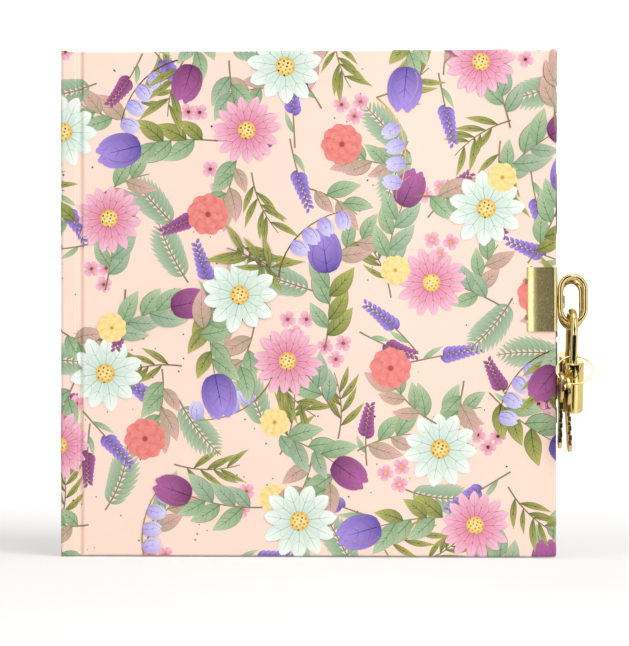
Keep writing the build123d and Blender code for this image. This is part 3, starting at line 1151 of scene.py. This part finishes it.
class GardenPrint:
    """Lays the design out and wraps it on the panels of the case."""

    SEED = 11
    SITE = 31.5
    ROW = 0.8
    JITTER = 3.0
    SIDE_SPILL = 10.0
    END_SPILL = 12.0
    SPECKS = 420
    STALK = 24.0
    SHORT_STALK = 10.0
    LIFT = 0.012
    STEP = 0.0025

    def __init__(self, sizes: CaseSizes, path: WrapPath) -> None:
        """Starts a print for one case.

        Args:
            sizes: the case's sizes.
            path: the line that the paper follows.
        """
        self.sizes = sizes
        self.path = path
        self.design = PrintDesign(self.SEED)

    def draw(self) -> None:
        """Fills the whole wrap with sprays on a loose brick grid, then leaves and specks between them."""
        design = self.design
        low = self.path.ends[Panel.BACK][0] - self.SIDE_SPILL
        high = self.path.ends[Panel.FRONT][1] + self.SIDE_SPILL
        top = self.sizes.half + self.END_SPILL
        design.dots((low, -top), (high, top), self.SPECKS)
        rows = int(2 * top / (self.SITE * self.ROW)) + 1
        for row in range(rows):
            for column in range(int((high - low) / self.SITE) + 2):
                u = low + (column + 0.5 * (row % 2)) * self.SITE + self._jitter()
                v = -top + row * self.SITE * self.ROW + self._jitter()
                self._filler((u + self.SITE * 0.5, v + 4), column + 2 * row)
                self._filler((u + self.SITE * 0.1, v + self.SITE * 0.4), column + 3 * row + 2)
                self._spray((u, v), column + 4 * row)

    def _jitter(self) -> float:
        """A small random shift off the grid."""
        return self.design.random.uniform(-self.JITTER, self.JITTER)

    def _spray(self, centre: Point, order: int) -> None:
        """Draws one main spray.

        Args:
            centre: its flower's place.
            order: its number, which picks its kind.
        """
        design = self.design
        aim = design.random.uniform(0, 2 * math.pi)
        root = (centre[0] - self.STALK * math.cos(aim), centre[1] - self.STALK * math.sin(aim))
        greens = ((SAGE, BLUSH), (OLIVE, SAGE), (FERN, SAGE))[order % 3]
        kind = order % 6
        if kind == 0:
            design.leafy_stem(root, aim + 0.2, 26, -0.3, greens, 13)
            design.daisy(centre, 12.5, 11, MINT, BUTTER)
        elif kind == 1:
            tip = design.leafy_stem(root, aim, 26, 0.35, greens, 12)
            design.tulip(tip, aim + 0.35, 15, VIOLET)
        elif kind == 2:
            design.leafy_stem(root, aim - 0.2, 27, 0.3, greens, 12)
            design.daisy(centre, 11.5, 15, ROSE, BUTTER)
        elif kind == 3:
            design.leafy_stem(root, aim + 0.4, 22, -0.6, greens, 11)
            design.rosette(centre, 7.0, CORAL)
        elif kind == 4:
            design.bells(root, aim, 30, LILAC)
            design.leafy_stem(root, aim + 0.9, 20, 0.5, (OLIVE, OLIVE), 12, Blade.NARROW)
        else:
            tip = design.leafy_stem(root, aim, 25, -0.4, greens, 12)
            design.tulip(tip, aim - 0.4, 13, PLUM)
            design.rosette((root[0] + 3, root[1] + 3), 5.0, BUTTER)

    def _filler(self, centre: Point, order: int) -> None:
        """Draws a smaller motif between the sprays.

        Args:
            centre: its place.
            order: its number, which picks its kind.
        """
        design = self.design
        aim = design.random.uniform(0, 2 * math.pi)
        root = (centre[0] - self.SHORT_STALK * math.cos(aim), centre[1] - self.SHORT_STALK * math.sin(aim))
        kind = order % 5
        if kind == 0:
            design.lavender(root, aim, 24, VIOLET)
        elif kind == 1:
            design.fern(root, aim, 23, FERN)
        elif kind == 2:
            design.leafy_stem(root, aim, 22, 0.6, (OLIVE, OLIVE), 11, Blade.NARROW, 4)
        elif kind == 3:
            design.leafy_stem(root, aim, 20, -0.5, (BLUSH, SAGE), 12, Blade.LEAF, 2)
        else:
            design.cluster(centre, ROSE)
            design.lavender(root, aim + 2, 20, PLUM)

    def panel(self, which: Panel, flat: bpy.types.Object,
              finishes: Sequence[bpy.types.Material]) -> bpy.types.Object:
        """Cuts one panel out of the flat design and lays it on the case.

        Args:
            which: the panel.
            flat: the flat design.
            finishes: ink and foil.

        Returns:
            The panel's print.
        """
        low, high = self.path.ends[which]
        rounded = which in (Panel.FRONT, Panel.BACK)
        half = self.sizes.spine_half if which is Panel.SPINE else self.sizes.half
        reach = half + (self.sizes.edge_depth if rounded else 0.0)
        piece = bpy.data.objects.new(f"{which.value}_print", flat.data.copy())
        bpy.context.scene.collection.objects.link(piece)
        for place, normal in ((high, 1), (low, -1)):
            cut_piece(piece, Vector((place, 0, 0)), Vector((normal, 0, 0)), False)
        for normal in (1, -1):
            cut_piece(piece, Vector((0, normal * reach, 0)), Vector((0, normal, 0)), False)
        for run in self._bends(low, high):
            cut_piece(piece, Vector((run, 0, 0)), Vector((1, 0, 0)), True)
        if rounded:
            for k in range(5):
                rise = half - self.sizes.edge_round + k * self.sizes.edge_round * math.pi / 8
                cut_piece(piece, Vector((0, rise, 0)), Vector((0, 1, 0)), True)
                cut_piece(piece, Vector((0, -rise, 0)), Vector((0, 1, 0)), True)
        move_vertices(piece, lambda co: self.path.lay(co.x, co.y, co.z, half, rounded))
        for finish in finishes:
            piece.data.materials.append(finish)
        make_active(piece)
        bpy.ops.object.mode_set(mode="EDIT")
        bpy.ops.mesh.select_all(action="SELECT")
        bpy.ops.mesh.delete_loose()
        bpy.ops.object.mode_set(mode="OBJECT")
        return piece

    def _bends(self, low: float, high: float) -> list[float]:
        """Finds where the paper's line changes direction inside a panel.

        Args:
            low: the panel's lowest measure.
            high: its highest.

        Returns:
            The measures of the bends.
        """
        found = []
        steps = self.path.steps
        for before, here, after in zip(steps, steps[1:], steps[2:]):
            turns = abs(before.out_x - here.out_x) + abs(after.out_x - here.out_x)
            turns += abs(before.out_y - here.out_y) + abs(after.out_y - here.out_y)
            if low + 1e-4 < here.run < high - 1e-4 and turns > 1e-6:
                found.append(here.run)
        return found


@dataclass
class BookCase:
    """The printed case: papers, boards, joints and print."""

    nodes: dict[str, bpy.types.Object]
    sizes: CaseSizes
    path: WrapPath
    joint_rows: int = 40
    joint_steps: int = 24
    smooth_angle: float = 40.0

    def dress(self) -> None:
        """Puts finishes on the case's CAD nodes."""
        paper, board, lining = PRINT_PAPER.make(), GREYBOARD.make(), ENDPAPER.make()
        dress_nodes(self.nodes, ("front_cover_paper", "back_cover_paper", "spine_paper"), paper)
        dress_nodes(self.nodes, ("front_board", "back_board", "spine_board"), board)
        dress_nodes(self.nodes, ("front_endpaper", "back_endpaper", "front_flyleaf", "back_flyleaf"), lining)
        self._joint(Panel.FRONT_JOINT, "front_joint_paper", paper)
        self._joint(Panel.BACK_JOINT, "back_joint_paper", paper)

    def _joint(self, which: Panel, node: str, paper: bpy.types.Material) -> None:
        """Replaces a joint's stiff solid with a thin sheet of paper laid along the groove.

        Args:
            which: the joint's panel.
            node: the CAD node that it stands for.
            paper: its finish.
        """
        low, high = self.path.ends[which]
        clear_selection()
        rows, steps = self.joint_rows, self.joint_steps
        bpy.ops.mesh.primitive_grid_add(x_subdivisions=rows, y_subdivisions=steps, size=1.0)
        piece = bpy.context.object
        piece.name = f"{which.value}_sheet"
        half, span, middle = self.sizes.half, high - low, (low + high) / 2
        lay = self.path.lay
        move_vertices(piece, lambda co: lay(middle + co.x * span, co.y * 2 * half, 0.0, half, False))
        outward = -1.0 if which is Panel.FRONT_JOINT else 1.0
        if piece.data.polygons[0].normal.y * outward < 0:
            piece.data.flip_normals()
        apply_modifier(piece, "SOLIDIFY", thickness=self.sizes.paper * MM, offset=-1.0)
        piece.data.materials.append(paper)
        make_active(piece)
        bpy.ops.object.shade_smooth_by_angle(angle=math.radians(self.smooth_angle))
        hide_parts(node)
        self.bend(piece, which)

    def bend(self, piece: bpy.types.Object, which: Panel) -> None:
        """Bakes a joint's piece's placement into its mesh, the same for both joints.

        Args:
            piece: the object.
            which: the joint's panel.
        """
        if which is Panel.FRONT_JOINT:
            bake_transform(piece)
        else:
            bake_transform(piece)
        LOG.info("%s bends with the %s", piece.name, which.value)

    def print_panels(self) -> None:
        """Draws the design and lays it on every panel."""
        garden = GardenPrint(self.sizes, self.path)
        garden.draw()
        flat = garden.design.mesh("flat_print", garden.LIFT, garden.STEP)
        LOG.info("print has %d shapes' corners in %d levels", len(garden.design.points),
                 max(garden.design.stack.values()))
        finishes = (COVER_INK.make(), GOLD_FOIL.make())
        bodies = {Panel.FRONT: "front_cover", Panel.SPINE: "spine", Panel.BACK: "back_cover"}
        for which in Panel:
            piece = garden.panel(which, flat, finishes)
            if which in bodies:
                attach(piece, bodies[which])
                LOG.info("%s rides on %s", piece.name, bodies[which])
            else:
                self.bend(piece, which)
        bpy.data.objects.remove(flat)


@dataclass
class PageBlock:
    """The six sections, each made of its own leaves, and the gauze on their back."""

    nodes: dict[str, bpy.types.Object]
    sections: int = 6
    leaves: int = 8
    stray: float = 0.16
    fold_round: float = 0.35
    fold_room: float = 0.05
    corner: float = 1.2
    seed: int = 5

    def build(self) -> None:
        """Replaces each section with a stack of leaves that end a little unevenly."""
        stock = PAGE_STOCK.make()
        draw = random.Random(self.seed)
        for number in range(1, self.sections + 1):
            piece = self._section(f"section_{number}", stock, draw)
            body = "front_pages" if number <= self.sections // 2 else "back_cover"
            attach(piece, body)
            LOG.info("%s rides on %s", piece.name, body)
        dress_nodes(self.nodes, ("spine_lining_front", "spine_lining_back"), GAUZE.make())

    def _section(self, node: str, stock: bpy.types.Material, draw: random.Random) -> bpy.types.Object:
        """Models one section.

        Args:
            node: the CAD node that it stands for.
            stock: its finish.
            draw: random draws for the uneven edges.

        Returns:
            The section's leaves as one object.
        """
        low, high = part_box(node)
        thick = (high.y - low.y) / self.leaves
        clear_selection()
        made = []
        for k in range(self.leaves):
            bpy.ops.mesh.primitive_cube_add(size=1.0)
            leaf = bpy.context.object
            inset = draw.uniform(0.0, self.stray) * MM
            tall = draw.uniform(0.0, self.stray) * MM
            self._shape_leaf(leaf, Vector((low.x + self._fold(k, thick), low.y + k * thick, low.z + tall)),
                             Vector((high.x - inset, low.y + (k + 0.96) * thick, high.z - tall)))
            made.append(leaf)
        clear_selection()
        for leaf in made:
            leaf.select_set(True)
        bpy.context.view_layer.objects.active = made[0]
        bpy.ops.object.join()
        piece = bpy.context.object
        piece.name = node.replace("section", "leaves")
        piece.data.materials.append(stock)
        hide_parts(node)
        return piece

    def _fold(self, number: int, thick: float) -> float:
        """Works out how far a leaf's back edge lies inside the section's rounded fold.

        Args:
            number: the leaf's number in its section.
            thick: a leaf's share of the section, in metres.

        Returns:
            The distance, in metres.
        """
        radius = self.fold_round * MM
        depth = min(radius, min(number, self.leaves - 1 - number) * thick)
        return self.fold_room * MM + radius - math.sqrt(radius**2 - (radius - depth) ** 2)

    def _shape_leaf(self, leaf: bpy.types.Object, low: Vector, high: Vector) -> None:
        """Stretches a cube into a leaf and rounds its fore-edge corners.

        Args:
            leaf: the cube.
            low: the leaf's lower corner.
            high: its upper corner.
        """
        middle, size = (low + high) / 2, high - low
        move_vertices(leaf, lambda co: Vector(m + c * s for m, c, s in zip(middle, co, size)))
        select_edges(leaf, lambda a, b: min(a.x, b.x) > middle.x and abs(a.y - b.y) > size.y / 2)
        bpy.ops.mesh.bevel(offset=self.corner * MM, segments=3)
        bpy.ops.object.mode_set(mode="OBJECT")


@dataclass
class Fittings:
    """Clips, rings, padlock and keys: CAD nodes with brass finishes."""

    nodes: dict[str, bpy.types.Object]

    def dress(self) -> None:
        """Puts the brass finishes on the nodes."""
        groups = {
            CLIP_BRASS: ("front_clip", "back_clip"),
            WIRE_BRASS: ("front_ring", "back_ring", "shackle", "key_ring"),
            LOCK_BRASS: ("padlock_shell_left", "padlock_shell_right", "lock_plug", "lock_latch"),
            KEY_BRASS: ("key_1", "key_2"),
        }
        for finish, names in groups.items():
            dress_nodes(self.nodes, names, finish.make())


@dataclass(frozen=True)
class Lamp:
    """An area lamp: place and size in metres, power in watts."""

    name: str
    place: tuple[float, float, float]
    wide: float
    tall: float
    power: float


LAMPS = (
    Lamp("key_lamp", (0.9, -1.3, 1.1), 1.2, 1.2, 18.0),
    Lamp("top_lamp", (0.1, -0.2, 1.4), 0.8, 0.8, 2.5),
    Lamp("left_strip", (-0.75, -1.3, 0.0), 0.3, 1.0, 4.0),
    Lamp("right_strip", (1.0, -1.0, 0.0), 0.3, 1.0, 4.0),
)


@dataclass(frozen=True)
class Card:
    """A card on an arc round the lock: degrees right of its front, millimetres above its case, brightness."""

    name: str
    start: float
    end: float
    low: float
    high: float
    level: float
    reach: float = 100.0

    def place(self, across: float, up: float) -> Vector:
        """Finds a point of the card.

        Args:
            across: share of its width, from 0 to 1.
            up: share of its height, from 0 to 1.

        Returns:
            The point from the middle of the case's top, in metres.
        """
        turn = math.radians(self.start + across * (self.end - self.start))
        rise = self.low + up * (self.high - self.low)
        return Vector((self.reach * math.sin(turn), -self.reach * math.cos(turn), rise)) * MM


CARDS = (
    Card("dark_flag", -7.0, 22.0, -63.0, 137.0, 0.05),
    Card("leg_flag", -40.0, 60.0, -37.0, -20.0, 0.0, 80.0),
    Card("case_flag", -46.0, 4.0, -41.0, -37.0, 0.0, 80.0),
    Card("right_card", 32.0, 54.0, -63.0, 137.0, 1.5),
    Card("left_card", -42.0, -24.0, -63.0, 137.0, 2.2),
    Card("far_left_card", -66.0, -42.0, -63.0, 137.0, 0.3),
)


@dataclass
class Studio:
    """Floor, backdrop, lamps, world and camera."""

    floor_z: float
    target: Vector
    lock: Vector
    azimuth: float = 3.5
    distance: float = 1.5
    frame_height: float = 0.2149
    sensor: float = 36.0
    white_lift: float = 0.26
    far_lift: float = 0.6
    lift_start: float = 0.3
    ambient: float = 0.6
    dark_side: float = 0.05
    dark_full: float = -0.92
    dark_end: float = -0.45
    floor_size: float = 8.0
    floor_y: float = -0.2
    wall: float = 3.0
    sweep: float = 0.6

    def build(self) -> None:
        """Sets up everything round the object."""
        self._sweep()
        self._lamps()
        self._cards()
        self._world()
        self._camera()
        bpy.context.scene.view_settings.view_transform = "Standard"

    def _sweep(self) -> None:
        """Adds a floor that curves up into a backdrop."""
        clear_selection()
        bpy.ops.mesh.primitive_plane_add(size=self.floor_size, location=(0.0, self.floor_y, self.floor_z))
        floor = bpy.context.object
        floor.name = "studio_floor"
        select_edges(floor, lambda a, b: min(a.y, b.y) > 0.0)
        bpy.ops.mesh.extrude_region_move(TRANSFORM_OT_translate={"value": (0.0, 0.0, self.wall)})
        bpy.ops.object.mode_set(mode="OBJECT")
        apply_modifier(floor, "BEVEL", width=self.sweep, segments=12, limit_method="ANGLE")
        make_active(floor)
        bpy.ops.object.shade_smooth()
        floor.data.materials.append(self._white())
        floor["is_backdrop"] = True

    def _white(self) -> bpy.types.Material:
        """Builds the floor's paper.

        Returns:
            A material that is white where it is seen, and still darker in the object's shadow.
        """
        sheet = MaterialSheet("studio_white")
        seen = sheet.rays("Camera", "Glossy", "Transmission")
        grain = sheet.noise(40.0)
        far = (sheet.axis("Y") - self.lift_start).clamped()
        lift = seen * (self.white_lift + far * self.far_lift)
        return sheet.principled({
            "Base Color": sheet.blended(grain, ink("E4E3E1"), ink("E0DFDD")),
            "Roughness": 0.9,
            "Emission Color": sheet.blended(lift, (0.0, 0.0, 0.0), (1.0, 1.0, 1.0)),
            "Emission Strength": 1.0,
        })

    def _lamps(self) -> None:
        """Adds the lamps, each turned to the object."""
        for lamp in LAMPS:
            bpy.ops.object.light_add(type="AREA", location=lamp.place)
            made = bpy.context.object
            made.name = lamp.name
            made.data.shape = "RECTANGLE"
            made.data.size = lamp.wide
            made.data.size_y = lamp.tall
            made.data.energy = lamp.power
            aim = self.target - Vector(lamp.place)
            made.rotation_euler = aim.to_track_quat("-Z", "Y").to_euler()

    def _cards(self) -> None:
        """Stands dark flags and bright cards round the lock, seen in the brass alone."""
        for card in CARDS:
            clear_selection()
            bpy.ops.mesh.primitive_grid_add(x_subdivisions=8, y_subdivisions=1, size=1.0)
            piece = bpy.context.object
            piece.name = card.name
            move_vertices(piece, lambda co: self.lock + card.place(co.x + 0.5, co.y + 0.5))
            sheet = MaterialSheet(card.name)
            fade = sheet.noise(6.0) * 0.2 + 0.9
            tone = sheet.blended(fade, (0.0, 0.0, 0.0), (card.level, card.level, card.level))
            piece.data.materials.append(sheet.principled({"Base Color": (0.0, 0.0, 0.0), "Roughness": 1.0,
                                                          "Emission Color": tone, "Emission Strength": 1.0}))
            for ray in ("camera", "diffuse", "shadow", "transmission", "volume_scatter"):
                setattr(piece, f"visible_{ray}", False)
            piece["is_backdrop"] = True

    def _world(self) -> None:
        """Makes a soft world: white to the camera, and for shiny surfaces dark on the camera's side."""
        world = bpy.data.worlds.new("studio_world")
        world.use_nodes = True
        bpy.context.scene.world = world
        sheet = NodeSheet(world.node_tree)
        way = sheet.node("ShaderNodeTexCoord", {}, {}, "Generated")
        toward = sheet.node("ShaderNodeSeparateXYZ", {}, {0: way}, "Y")
        shade = sheet.node("ShaderNodeMapRange", {}, {
            "Value": toward, "From Min": self.dark_full, "From Max": self.dark_end,
            "To Min": self.dark_side, "To Max": 1.0})
        glossy, seen = sheet.rays("Glossy"), sheet.rays("Camera", "Transmission")
        shiny = sheet.node("ShaderNodeMix", {}, {0: glossy, 2: self.ambient, 3: shade})
        level = sheet.node("ShaderNodeMix", {}, {0: seen, 2: shiny, 3: 1.0})
        sheet.end_in("ShaderNodeOutputWorld", sheet.node("ShaderNodeBackground", {}, {"Strength": level}))

    def _camera(self) -> None:
        """Places a long lens at the photograph's angle."""
        turn = math.radians(self.azimuth)
        back = Vector((math.sin(turn), -math.cos(turn), 0.0))
        bpy.ops.object.camera_add(location=self.target + back * self.distance)
        camera = bpy.context.object
        camera.name = "photo_camera"
        camera.rotation_euler = (-back).to_track_quat("-Z", "Y").to_euler()
        camera.data.sensor_width = self.sensor
        camera.data.lens = self.sensor * self.distance / self.frame_height
        camera.data.clip_end = 50.0
        bpy.context.scene.camera = camera


def main() -> None:
    """Builds the studio and dresses the diary."""
    logging.basicConfig(level=logging.INFO, format="%(name)s %(message)s")
    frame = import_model()
    cad_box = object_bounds()
    sizes = CaseSizes()
    path = WrapPath(sizes)
    target = Vector((VIEW_X, -sizes.thick, VIEW_Z)) * MM
    lock = sum(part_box("shackle"), Vector()) / 2
    lock.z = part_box("padlock_shell_left")[1].z
    Studio(cad_box[0].z, target, lock).build()
    case = BookCase(frame["nodes"], sizes, path)
    case.dress()
    case.print_panels()
    PageBlock(frame["nodes"]).build()
    Fittings(frame["nodes"]).dress()


if __name__ == "__main__":
    main()
